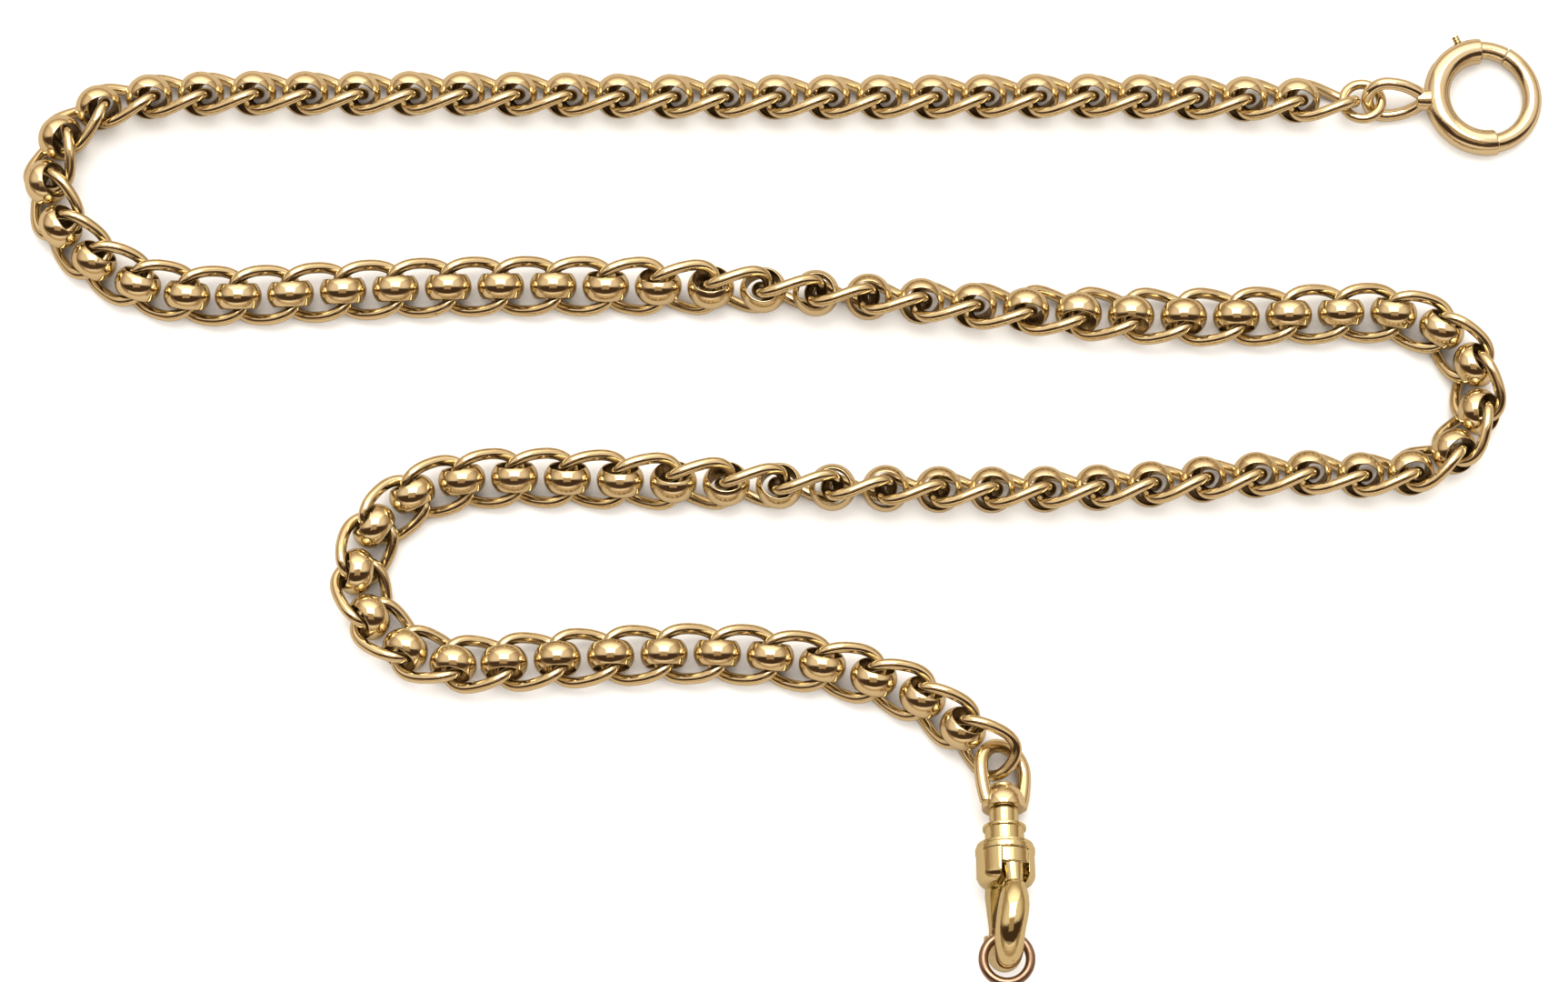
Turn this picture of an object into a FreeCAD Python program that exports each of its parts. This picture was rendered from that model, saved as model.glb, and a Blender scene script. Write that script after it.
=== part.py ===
"""A gentleman's pocket watch chain in pale gold, laid out in four runs on a flat surface.

Twisted curb links hook straight into each other, and a broad domed ring sits round every place
where two of them cross. One end has a bolt ring (spring ring), the other a swivel clip.
Millimetres, +Z up, origin on the surface below the middle of the layout, +X along the runs.
"""

import FreeCAD, Part
import Sketcher
import math
import os

Vector = FreeCAD.Vector
Rotation = FreeCAD.Rotation
Placement = FreeCAD.Placement

SIZES = (
    # curb links and domed rings
    ("ring_count", 92),
    ("link_pitch", 6.07),
    ("bend_shortening", 0.0125),
    ("link_half_length", 3.735),
    ("link_half_width", 2.85),
    ("link_twist", 0.589),
    ("link_squareness", 2.278),
    ("link_wire", 1.3),
    ("dome_radius", 2.7),
    ("hole_radius", 2.0),
    ("rim_radius", 2.1),
    ("dome_half_width", 1.45),
    ("mouth_flare", 0.061),
    ("mouth_depth", 0.6),
    # bolt ring
    ("barrel_ring_radius", 5.60),
    ("barrel_radius", 1.50),
    ("shoulder_radius", 0.22),
    ("bore_ring_radius", 5.75),
    ("bore_radius", 1.10),
    ("bolt_radius", 1.02),
    ("tenon_radius", 1.04),
    ("barrel_sweep", 190),
    ("arm_sweep", 139),
    ("bolt_sweep", 55),
    ("tenon_sweep", 14),
    ("slot_sweep", 37),
    ("slot_width", 0.96),
    ("slot_start", 17),
    ("thumb_radius", 0.44),
    ("thumb_groove", 0.34),
    ("thumb_length", 1.62),
    ("coil_radius", 0.86),
    ("coil_wire", 0.20),
    # eye and jump ring
    ("eye_wire", 1.45),
    ("eye_tip_radius", 2.15),
    ("eye_side_radius", 6.20),
    ("eye_neck", 0.80),
    ("collar_radius", 1.15),
    ("collar_foot_radius", 1.40),
    ("collar_length", 1.60),
    ("jump_ring_radius", 2.22),
    ("jump_ring_wire", 1.15),
    # swivel
    ("stirrup_wire", 1.60),
    ("stirrup_radius", 2.95),
    ("stirrup_side_radius", 12.36),
    ("stirrup_foot", 2.25),
    ("saddle_radius", 2.45),
    ("saddle_top_radius", 1.60),
    ("saddle_bulge", 2.80),
    ("saddle_height", 2.50),
    ("saddle_bore", 0.95),
    ("rivet_radius", 0.90),
    ("rivet_head", 1.42),
    ("rivet_head_step", 0.30),
    ("rivet_top", 1.15),
    ("rivet_top_step", 0.20),
    ("neck_radius", 1.65),
    ("neck_length", 2.05),
    ("thin_flange_radius", 2.45),
    ("thin_flange", 0.40),
    ("waist_radius", 2.20),
    ("flange_radius", 3.38),
    ("flange_step_radius", 3.20),
    ("flange_thickness", 1.10),
    ("case_radius", 3.30),
    ("case_length", 3.75),
    ("case_mouth_length", 1.20),
    ("case_mouth_radius", 2.15),
    ("case_mouth_bulge", 1.30),
    ("slot_gap", 3.30),
    ("pin_radius", 0.50),
    ("pin_length", 5.20),
    ("pin_forward", 2.35),
    ("pin_below", 1.90),
    ("root_length", 1.70),
    ("hook_collar_radius", 1.30),
    ("leaf_size", 2.00),
    ("leaf_thickness", 0.18),
    ("lever_width", 2.60),
    ("lever_tip_width", 1.20),
    ("fob_ring_radius", 2.65),
    ("fob_ring_wire", 1.10),
)
SECTION_COUNT = 20
# Clearance of a loose fit, and of a soldered seat.
GAP = 0.03
SEAT_GAP = 0.01
# How far the eye's collar reaches back over its arms.
COLLAR_LAP = 0.25

doc = FreeCAD.newDocument("pocket_watch_chain")
sheet = doc.addObject("Spreadsheet::Sheet", "Sizes")
for row, (alias, value) in enumerate(SIZES, start=1):
    sheet.set("A%d" % row, alias)
    sheet.set("B%d" % row, str(value))
    sheet.setAlias("B%d" % row, alias)
doc.recompute()


class Size:
    """A length with its value and the spreadsheet expression that gives it."""

    def __init__(self, value, text):
        self.value = value
        self.text = text

    def __add__(self, other):
        other = as_size(other)
        return Size(self.value + other.value, "(%s + %s)" % (self.text, other.text))

    def __sub__(self, other):
        other = as_size(other)
        return Size(self.value - other.value, "(%s - %s)" % (self.text, other.text))

    def __radd__(self, other):
        return as_size(other) + self

    def __rsub__(self, other):
        return as_size(other) - self

    def __mul__(self, factor):
        return Size(self.value * factor, "(%s * %g)" % (self.text, factor))

    def __neg__(self):
        return self * -1


def as_size(number):
    return number if isinstance(number, Size) else Size(number, "%g" % number)


def size(alias):
    """The named size, for pieces bound to the spreadsheet."""
    return Size(float(sheet.get(alias)), "Sizes." + alias)


def number(alias):
    """The named size as a plain number, for pieces whose shape is worked out here."""
    return float(sheet.get(alias))


def bind(thing, **sizes):
    for name, value in sizes.items():
        thing.setExpression(name, as_size(value).text)


def add_part(kind, name, placement=Placement(), **sizes):
    """A Part primitive with its sizes bound to the spreadsheet."""
    thing = doc.addObject(kind, name)
    bind(thing, **sizes)
    thing.Placement = placement
    return thing


# ---------------------------------------------------------------- sketches and bodies


def new_body(name):
    return doc.addObject("PartDesign::Body", name)


def new_sketch(body, name, plane, turn=0.0):
    """A sketch on one of the body's origin planes, turned about the plane's own vertical."""
    sketch = body.newObject("Sketcher::SketchObject", name)
    origin_plane = [f for f in body.Origin.OriginFeatures if f.Role == plane][0]
    sketch.AttachmentSupport = (origin_plane, "")
    sketch.MapMode = "FlatFace"
    sketch.AttachmentOffset = Placement(Vector(), Rotation(Vector(0, 1, 0), turn))
    return sketch


def fix_point(sketch, geometry, position, u, v):
    """Holds a sketch point at (u, v), each bound to the spreadsheet."""
    for kind, axis, value in (("DistanceX", -2, as_size(u)), ("DistanceY", -1, as_size(v))):
        if abs(value.value) < 1e-9:
            sketch.addConstraint(Sketcher.Constraint("PointOnObject", geometry, position, axis))
            continue
        index = sketch.addConstraint(
            Sketcher.Constraint(kind, -1, 1, geometry, position, value.value)
        )
        sketch.setExpression("Constraints[%d]" % index, value.text)


def outline(sketch, corners, closed=True):
    """Lines from corner to corner. A corner is (u, v) or (u, v, radius), and a radius bends the line
    that leaves it into an arc, to the right of its direction, or to the left if it is below 0."""
    points = [Vector(as_size(c[0]).value, as_size(c[1]).value, 0) for c in corners]
    edge_count = len(corners) if closed else len(corners) - 1
    ends = []
    for i in range(edge_count):
        start, end = points[i], points[(i + 1) % len(points)]
        if len(corners[i]) == 2:
            edge = sketch.addGeometry(Part.LineSegment(start, end), False)
            ends.append((edge, 1, 2))
            continue
        radius = as_size(corners[i][2])
        chord = end - start
        rise = abs(radius.value) - math.sqrt(max(radius.value**2 - (chord.Length / 2) ** 2, 0))
        across = Vector(chord.y, -chord.x, 0)
        across.normalize()
        middle = (start + end) * 0.5 + across * math.copysign(rise, radius.value)
        edge = sketch.addGeometry(Part.Arc(start, middle, end), False)
        turns_left = radius.value > 0
        ends.append((edge, 1, 2) if turns_left else (edge, 2, 1))
    for i in range(edge_count):
        fix_point(sketch, ends[i][0], ends[i][1], corners[i][0], corners[i][1])
        if i + 1 < edge_count or closed:
            following = ends[(i + 1) % edge_count]
            sketch.addConstraint(
                Sketcher.Constraint("Coincident", ends[i][0], ends[i][2], following[0], following[1])
            )
    if not closed:
        fix_point(sketch, ends[-1][0], ends[-1][2], corners[-1][0], corners[-1][1])
    for i in range(edge_count):
        if len(corners[i]) == 3:
            radius = as_size(corners[i][2])
            radius = radius if radius.value > 0 else -radius
            index = sketch.addConstraint(Sketcher.Constraint("Radius", ends[i][0], radius.value))
            sketch.setExpression("Constraints[%d]" % index, radius.text)


def circle(sketch, u, v, radius):
    radius = as_size(radius)
    centre = Vector(as_size(u).value, as_size(v).value, 0)
    edge = sketch.addGeometry(Part.Circle(centre, Vector(0, 0, 1), radius.value), False)
    fix_point(sketch, edge, 3, u, v)
    index = sketch.addConstraint(Sketcher.Constraint("Radius", edge, radius.value))
    sketch.setExpression("Constraints[%d]" % index, radius.text)


def revolve(body, sketch, axis, angle=360.0, cut=False):
    kind = "PartDesign::Groove" if cut else "PartDesign::Revolution"
    feature = body.newObject(kind, sketch.Name + "_turned")
    feature.Profile = sketch
    feature.ReferenceAxis = (sketch, [axis])
    feature.setExpression("Angle", as_size(angle).text)
    return feature


def extrude(body, sketch, length, cut=False):
    """A pad, or a pocket that cuts both ways, centred on the sketch."""
    kind = "PartDesign::Pocket" if cut else "PartDesign::Pad"
    feature = body.newObject(kind, sketch.Name + "_extruded")
    feature.Profile = sketch
    feature.SideType = "Symmetric"
    feature.setExpression("Length", as_size(length).text)
    return feature


# ---------------------------------------------------------------- the course of the chain

# Where the domed rings' centres run, from the bolt ring's end to the swivel's.
ROUTE = (
    (59.6, 46.2), (48.1, 46.5), (36.0, 46.7), (18.0, 46.6), (0.0, 46.6), (-18.2, 46.7),
    (-36.2, 47.0), (-54.7, 47.0), (-66.9, 47.0), (-73.1, 46.7), (-79.0, 45.6), (-83.4, 42.4),
    (-85.4, 37.4), (-84.4, 32.2), (-80.9, 27.8), (-76.0, 24.6), (-70.2, 22.8), (-63.9, 22.5),
    (-51.8, 23.1), (-33.6, 23.7), (-15.8, 23.6), (2.9, 22.7), (21.6, 21.3), (39.3, 20.2),
    (51.5, 20.0), (63.6, 20.5), (69.4, 20.6), (74.8, 19.1), (78.6, 15.6), (80.0, 10.5),
    (78.2, 5.6), (74.2, 2.2), (68.8, 1.0), (63.0, 1.2), (52.1, 0.9), (40.2, -0.2),
    (27.8, -0.7), (10.0, -0.6), (-8.6, 0.0), (-20.5, 0.6), (-32.4, 0.9), (-38.0, 0.4),
    (-43.2, -1.5), (-47.1, -5.3), (-48.7, -10.4), (-47.1, -15.6), (-43.2, -19.3),
    (-37.6, -21.1), (-31.4, -20.9), (-19.1, -20.1), (-6.8, -19.8), (-0.9, -20.2),
    (5.2, -21.3), (11.0, -22.9), (16.1, -25.2), (20.2, -28.6), (23.5, -33.0),
)
# How far the strand is rolled about its own length: (ring number, degrees from lying flat-holed).
ROLLS = (
    (0, 45), (20, 45), (25, 38), (30, 18), (36, 15), (38, 42), (40, 82), (42, 115), (45, 145),
    (48, 172), (51, 195), (54, 218), (58, 230), (66, 240), (68, 260), (70, 292), (72, 325),
    (75, 338), (80, 340), (84, 358), (87, 378), (89, 396), (91, 405),
)


def roll_at(place):
    """The strand's roll at a ring number, between the two nearest given ones."""
    for (low, start), (high, end) in zip(ROLLS, ROLLS[1:]):
        if place <= high:
            return start + (end - start) * max(place - low, 0) / (high - low)
    return ROLLS[-1][1]


def route_points():
    """Ring centres along the route. A bend brings neighbouring rings a little closer together."""
    curve = Part.BSplineCurve()
    curve.interpolate([Vector(x, y, 0) for x, y in ROUTE])
    pitch = number("link_pitch")
    shortening = number("bend_shortening")
    at = curve.FirstParameter
    points = [curve.value(at)]
    while len(points) < int(number("ring_count")):
        bend = math.degrees(curve.curvature(at) * pitch)
        step = pitch - shortening * bend
        low, high = at, at + 3 * pitch / curve.getD1(at)[1].Length
        for _ in range(40):
            middle = (low + high) / 2
            if (curve.value(middle) - points[-1]).Length < step:
                low = middle
            else:
                high = middle
        at = low
        points.append(curve.value(at))
    return points


def link_centre(turn):
    """A point of a link's centre line, in the link's own frame: x along the chain, z through it."""
    power = number("link_squareness")
    reach = (abs(math.cos(turn)) ** power + abs(math.sin(turn)) ** power) ** (-1 / power)
    x = math.cos(turn) * reach
    y = number("link_half_width") * math.sin(turn) * reach
    return Vector(number("link_half_length") * x, y, -number("link_twist") * y * x)


def dome_profile():
    """Points of the domed ring's outer profile, as (distance from its axis, place along its axis)."""
    rise = number("dome_radius") - number("rim_radius")
    half = number("dome_half_width")
    bow = (half**2 + rise**2) / (2 * rise)
    reach = math.asin(half / bow)
    turns = [reach * i / 8 for i in range(9)]
    return [
        (number("dome_radius") - bow + bow * math.cos(t), bow * math.sin(t)) for t in turns
    ]


def rest_height(roll):
    """How high the strand's centre line lies when it is rolled this far and rests on the surface."""
    sine, cosine = math.sin(math.radians(roll)), math.cos(math.radians(roll))
    ring = max(r * abs(cosine) + y * abs(sine) for r, y in dome_profile())
    points = [link_centre(math.radians(6 * i)) for i in range(60)]
    link = max(-(p.y * sine + p.z * cosine) for p in points) + number("link_wire") / 2
    return max(ring, link)


def strand_frame(centre, along, roll):
    """A placement at centre, its X along the strand and its Y and Z rolled about it."""
    along = Vector(along)
    along.normalize()
    flat = Rotation(along, Vector(0, 0, 1).cross(along), Vector(0, 0, 1), "XZY")
    return Placement(centre, flat.multiply(Rotation(Vector(1, 0, 0), roll)))


route = route_points()
ring_centres = []
for i, p in enumerate(route):
    ring_centres.append(Vector(p.x, p.y, max(rest_height(roll_at(i + d)) for d in (-0.5, 0, 0.5))))
LAST = len(ring_centres) - 1
ring_places = []
for i, centre in enumerate(ring_centres):
    before = ring_centres[max(i - 1, 0)]
    after = ring_centres[min(i + 1, LAST)]
    ring_places.append(strand_frame(centre, after - before, roll_at(i)))
link_places = []
for i in range(1, LAST + 1):
    start, end = ring_centres[i - 1], ring_centres[i]
    link_places.append(strand_frame((start + end) * 0.5, end - start, roll_at(i - 0.5)))
half_pitch = number("link_pitch") / 2
first_along = ring_centres[1] - ring_centres[0]
first_along.z = 0
first_along.normalize()
first_centre = ring_centres[0] - first_along * half_pitch
link_places.insert(0, strand_frame(first_centre, first_along, roll_at(0)))


# ---------------------------------------------------------------- chain pieces


def closed_tube(centres, radius, around=8):
    """A round bar bent into a closed loop: a surface that is smooth both along and around it."""
    count = len(centres)
    middle = sum(centres, Vector()) * (1 / count)
    spread = radius * 3 / (2 + math.cos(2 * math.pi / around))
    poles = []
    for i, centre in enumerate(centres):
        along = centres[(i + 1) % count] - centres[i - 1]
        side = along.cross(centre - middle)
        side.normalize()
        out = side.cross(along)
        out.normalize()
        turns = [2 * math.pi * j / around for j in range(around)]
        poles.append([centre + (out * math.cos(t) + side * math.sin(t)) * spread for t in turns])
    surface = Part.BSplineSurface()
    surface.buildFromPolesMultsKnots(
        poles, [1] * (count + 1), [1] * (around + 1),
        [float(i) for i in range(count + 1)], [float(i) for i in range(around + 1)],
        True, True, 3, 3,
    )
    return Part.Solid(Part.Shell([surface.toShape()]))


def make_curb_link():
    """One twisted curb link. Its surface runs a little inside the points that steer it."""
    points = 20
    spread = 3 / (2 + math.cos(2 * math.pi / points))
    link = doc.addObject("Part::Feature", "curb_link")
    centres = [link_centre(2 * math.pi * (i + 0.5) / points) for i in range(points)]
    centres = [Vector(c.x * spread, c.y * spread, c.z * spread) for c in centres]
    link.Shape = closed_tube(centres, number("link_wire") / 2)
    return link


def make_domed_ring():
    """One domed ring: cylindrical inside with slightly eased mouths, an arc from rim to rim outside."""
    rise = number("dome_radius") - number("rim_radius")
    bow = Size(
        (number("dome_half_width") ** 2 + rise**2) / (2 * rise),
        "((Sizes.dome_half_width ^ 2 + (Sizes.dome_radius - Sizes.rim_radius) ^ 2)"
        " / (2 * (Sizes.dome_radius - Sizes.rim_radius)))",
    )
    half = size("dome_half_width")
    hole = size("hole_radius")
    mouth = hole + size("mouth_flare")
    body = new_body("domed_ring")
    sketch = new_sketch(body, "dome_section", "XY_Plane")
    outline(sketch, (
        (size("rim_radius"), -half, bow),
        (size("rim_radius"), half),
        (mouth, half),
        (hole, half - size("mouth_depth")),
        (hole, size("mouth_depth") - half),
        (mouth, -half),
    ))
    revolve(body, sketch, "V_Axis")
    return body


def copies(name, original, places):
    """Separate copies of one piece, kept together as one node."""
    links = []
    for i, place in enumerate(places):
        copy = doc.addObject("App::Link", "%s_copy_%d" % (name, i + 1))
        copy.LinkedObject = original
        copy.Placement = place
        links.append(copy)
    group = doc.addObject("Part::Compound", name)
    group.Links = links
    return group


# The middle of the laid-out chain on the surface it lies on, which is the part's origin.
ORIGIN = Vector(0.05, -2.05, 0)
sub_parts = []


def keep(thing, label, placement=Placement()):
    """Names a finished sub-part and puts it in its place, as measured from the origin."""
    thing.Label = label
    thing.Placement = Placement(ORIGIN * -1, Rotation()).multiply(placement)
    sub_parts.append(thing)
    return thing


curb_link = make_curb_link()
domed_ring = make_domed_ring()
section_starts = [round(k * (LAST + 1) / SECTION_COUNT) for k in range(SECTION_COUNT + 1)]
for k in range(SECTION_COUNT):
    first, after = section_starts[k], section_starts[k + 1]
    name = "section_%02d" % (k + 1)
    keep(copies(name + "_rings", domed_ring, ring_places[first:after]), name + "_rings")
    keep(copies(name + "_links", curb_link, link_places[first:after]), name + "_links")


# ---------------------------------------------------------------- bolt ring end

BOLT_RING_TILT = 7.0
BARREL_START = 93.0
ARM_START = BARREL_START + number("barrel_sweep")
BOLT_START = 63.0
THUMB_ANGLE = 114.0
tilt_sine = math.sin(math.radians(BOLT_RING_TILT))
bolt_ring_height = number("bore_radius") + number("bore_ring_radius") * tilt_sine
bolt_ring_place = Placement(
    Vector(81.5, 47.0, bolt_ring_height), Rotation(Vector(0, 1, 0), BOLT_RING_TILT)
)


def turned(angle):
    """The bolt ring's frame, turned about the ring's own axis."""
    return bolt_ring_place.multiply(Placement(Vector(), Rotation(Vector(0, 0, 1), angle)))


def make_barrel():
    """The thick hollow half. Its bore lies off centre, towards the outside of the ring."""
    body = new_body("bolt_ring_barrel")
    sketch = new_sketch(body, "barrel_section", "XZ_Plane")
    circle(sketch, size("barrel_ring_radius"), 0, size("barrel_radius"))
    circle(sketch, size("bore_ring_radius"), 0, size("bore_radius"))
    revolve(body, sketch, "V_Axis", size("barrel_sweep"))
    slot = new_sketch(body, "thumb_slot", "XZ_Plane", number("slot_start"))
    inner = size("bore_ring_radius")
    outer = size("barrel_ring_radius") + size("barrel_radius") * 2
    half = size("slot_width") * 0.5
    outline(slot, ((inner, -half), (outer, -half), (outer, half), (inner, half)))
    slot_cut = revolve(body, slot, "V_Axis", size("slot_sweep"), cut=True)
    doc.recompute()
    edges = []
    for i, edge in enumerate(body.Shape.Edges):
        is_round = isinstance(edge.Curve, Part.Circle)
        if is_round and abs(edge.Curve.Radius - number("barrel_radius")) < 1e-6 and edge.isClosed():
            edges.append("Edge%d" % (i + 1))
    shoulders = body.newObject("PartDesign::Fillet", "barrel_shoulders")
    shoulders.Base = (slot_cut, edges)
    bind(shoulders, Radius=size("shoulder_radius"))
    return body


def make_arm():
    """The thinner solid half, with a tenon that is soldered into the barrel."""
    body = new_body("bolt_ring_arm")
    sketch = new_sketch(body, "arm_section", "XZ_Plane")
    circle(sketch, size("bore_ring_radius"), 0, size("bore_radius"))
    revolve(body, sketch, "V_Axis", size("arm_sweep") - 0.3)
    tenon = new_sketch(body, "tenon_section", "XZ_Plane", -number("tenon_sweep"))
    circle(tenon, size("bore_ring_radius"), 0, size("tenon_radius"))
    revolve(body, tenon, "V_Axis", size("tenon_sweep") + 1)
    return body


def make_bolt():
    """The curved bolt that closes the ring, drilled for the thumb piece."""
    body = new_body("bolt_bar")
    sketch = new_sketch(body, "bolt_section", "XZ_Plane")
    circle(sketch, size("bore_ring_radius"), 0, size("bolt_radius"))
    revolve(body, sketch, "V_Axis", size("bolt_sweep"))
    angle = math.radians(THUMB_ANGLE - BOLT_START)
    radial = Vector(math.cos(angle), math.sin(angle), 0)
    drill = add_part(
        "Part::Cylinder", "bolt_drill",
        Placement(radial * number("bore_ring_radius"), Rotation(Vector(0, 0, 1), radial)),
        Radius=size("thumb_groove") + GAP, Height=size("bolt_radius") * 2,
    )
    bolt = doc.addObject("Part::Cut", "bolt_ring_bolt")
    bolt.Base = body
    bolt.Tool = drill
    return bolt


def make_thumb_piece():
    """The little grooved peg that is screwed into the bolt and pushed back with a nail."""
    body = new_body("bolt_ring_thumb_piece")
    sketch = new_sketch(body, "thumb_profile", "XZ_Plane")
    stem, rim = size("thumb_groove"), size("thumb_radius")
    top = size("thumb_length")
    corners = [(0, 0), (stem, 0), (stem, top * 0.5)]
    for low, high in ((0.5, 0.6), (0.7, 0.8), (0.9, 1.0)):
        corners += [(rim, top * low), (rim, top * high)]
        if high < 1:
            corners += [(stem, top * high), (stem, top * (high + 0.1))]
    corners.append((0, top))
    outline(sketch, corners)
    revolve(body, sketch, "V_Axis")
    return body


def make_bolt_spring():
    """The fine coil behind the bolt, each turn drawn as its own ring."""
    turns = []
    first_turn, last_turn, turn_step = 122, 266, 6
    for angle in range(first_turn, last_turn, turn_step):
        a = math.radians(angle)
        along = Vector(-math.sin(a), math.cos(a), 0)
        centre = Vector(math.cos(a), math.sin(a), 0) * number("bore_ring_radius")
        turns.append(add_part(
            "Part::Torus", "spring_turn", Placement(centre, Rotation(Vector(0, 0, 1), along)),
            Radius1=size("coil_radius"), Radius2=size("coil_wire") * 0.5,
        ))
    spring = doc.addObject("Part::Compound", "bolt_ring_spring")
    spring.Links = turns
    return spring


def swept_bar(name, path, start, direction, wire):
    """A round bar bent along a flat path, which starts at start and leaves it in a direction."""
    section = add_part(
        "Part::Circle", name + "_section",
        Placement(start, Rotation(Vector(0, 0, 1), direction)), Radius=wire * 0.5,
    )
    doc.recompute()
    bar = doc.addObject("Part::Sweep", name)
    bar.Sections = [section]
    bar.Spine = (path, ["Edge%d" % (i + 1) for i in range(len(path.Shape.Edges))])
    bar.Solid = True
    return bar


def loop_path(name, tip, side, neck_x, neck_y):
    """Half a turn of radius tip about the origin, open to +X, with a gentler arc on to each neck."""
    path = doc.addObject("Sketcher::SketchObject", name)
    outline(path, (
        (neck_x, neck_y, side), (0, tip, tip), (-tip, 0, tip), (0, -tip, side), (neck_x, -neck_y),
    ), closed=False)
    return path


def neck_reach(side, tip, neck):
    """How far along X the side arc is when it has come in from the tip's radius to the neck's."""
    value = math.sqrt(side.value**2 - (neck.value - tip.value + side.value) ** 2)
    return Size(value, "sqrt(%s ^ 2 - (%s - %s + %s) ^ 2)" % (side.text, neck.text, tip.text, side.text))


def start_direction(side, tip, neck_x, neck_y):
    """Which way a loop's path leaves its first neck."""
    return Vector(-(neck_y.value - tip.value + side.value), neck_x.value, 0)


def make_eye():
    """The teardrop loop of round wire and the collar that its arms are soldered into."""
    tip, side, neck = size("eye_tip_radius"), size("eye_side_radius"), size("eye_neck")
    reach = neck_reach(side, tip, neck)
    path = loop_path("eye_path", tip, side, reach, neck)
    start = Vector(reach.value, neck.value, 0)
    direction = start_direction(side, tip, reach, neck)
    loop = swept_bar("eye_loop", path, start, direction, size("eye_wire"))
    collar = add_part(
        "Part::Cone", "eye_collar",
        Placement(Vector(reach.value - COLLAR_LAP, 0, 0), Rotation(Vector(0, 0, 1), Vector(1, 0, 0))),
        Radius1=size("collar_radius"), Radius2=size("collar_foot_radius"), Height=size("collar_length"),
    )
    soldered = doc.addObject("Part::Fuse", "eye_and_collar")
    soldered.Base, soldered.Tool = loop, collar
    barrel = add_part(
        "Part::Torus", "eye_seat", eye_place.inverse().multiply(bolt_ring_place),
        Radius1=size("barrel_ring_radius"), Radius2=size("barrel_radius") + SEAT_GAP,
    )
    eye = doc.addObject("Part::Cut", "bolt_ring_eye")
    eye.Base, eye.Tool = soldered, barrel
    return eye


EYE_ROLL = 48.25
eye_height = bolt_ring_height + tilt_sine * (number("barrel_ring_radius") + number("barrel_radius"))
eye_place = Placement(Vector(69.99, 46.39, eye_height), Rotation(Vector(1, 0, 0), EYE_ROLL))
keep(make_barrel(), "bolt_ring_barrel", turned(BARREL_START))
keep(make_arm(), "bolt_ring_arm", turned(ARM_START + 0.2))
keep(make_bolt(), "bolt_ring_bolt", turned(BOLT_START))
thumb_turn = turned(THUMB_ANGLE).multiply(
    Placement(Vector(number("bore_ring_radius") + 0.55, 0, 0), Rotation(Vector(0, 1, 0), 90))
)
keep(make_thumb_piece(), "bolt_ring_thumb_piece", thumb_turn)
keep(make_bolt_spring(), "bolt_ring_spring", bolt_ring_place)
keep(make_eye(), "bolt_ring_eye", eye_place)
jump_ring_place = Placement(Vector(67.22, 46.17, 2.64), Rotation(Vector(1, 0, 0), -7.9))
keep(add_part(
    "Part::Torus", "jump_ring", Radius1=size("jump_ring_radius"), Radius2=size("jump_ring_wire") * 0.5,
), "jump_ring", jump_ring_place)


# ---------------------------------------------------------------- swivel end

END_LINK_HEADING = -38.6
END_LINK_DROP = 0.55
END_LINK_ROLL = 44.8
SWIVEL_HEADING = -89.0
SWIVEL_RISE = 9.47
HOOK_ROLL = -21.0
STIRRUP_ROLL = -33.0


def heading_turn(heading, rise):
    """Turns X to a heading on the surface, then lifts its far end."""
    return Rotation(Vector(0, 0, 1), heading).multiply(Rotation(Vector(0, 1, 0), -rise))


end_along = heading_turn(END_LINK_HEADING, -END_LINK_DROP).multVec(Vector(1, 0, 0))
end_link_place = strand_frame(ring_centres[LAST] + end_along * half_pitch, end_along, END_LINK_ROLL)
keep(copies("end_link", curb_link, [end_link_place]), "end_link")

swivel_turn = heading_turn(SWIVEL_HEADING, SWIVEL_RISE)
swivel_origin = Vector(24.83, -43.28, 4.20)
body_place = Placement(swivel_origin, swivel_turn.multiply(Rotation(Vector(1, 0, 0), HOOK_ROLL)))
stirrup_place = Placement(swivel_origin, swivel_turn.multiply(Rotation(Vector(1, 0, 0), STIRRUP_ROLL)))
# Places along the swivel's axis: the neck's and the saddle's ends, the rivet's, and the big flange.
NECK_END = -5.25
SADDLE_GAP = 0.05
SADDLE_END = NECK_END - SADDLE_GAP
RIVET_END = NECK_END + 0.65
RIVET_HOLE_END = NECK_END + 0.70
FLANGE_BACK = -0.95
# How far in front of the big flange the slot's floor is.
SLOT_FLOOR = 0.10
# How far past the middle of the saddle the bail's arms end.
FOOT_BELOW_MIDDLE = 0.6


def along_x(sketch_corners, body, name):
    """Turns a profile, given as (place along X, radius), about the X axis."""
    sketch = new_sketch(body, name, "XZ_Plane")
    outline(sketch, sketch_corners)
    return revolve(body, sketch, "H_Axis")


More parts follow.
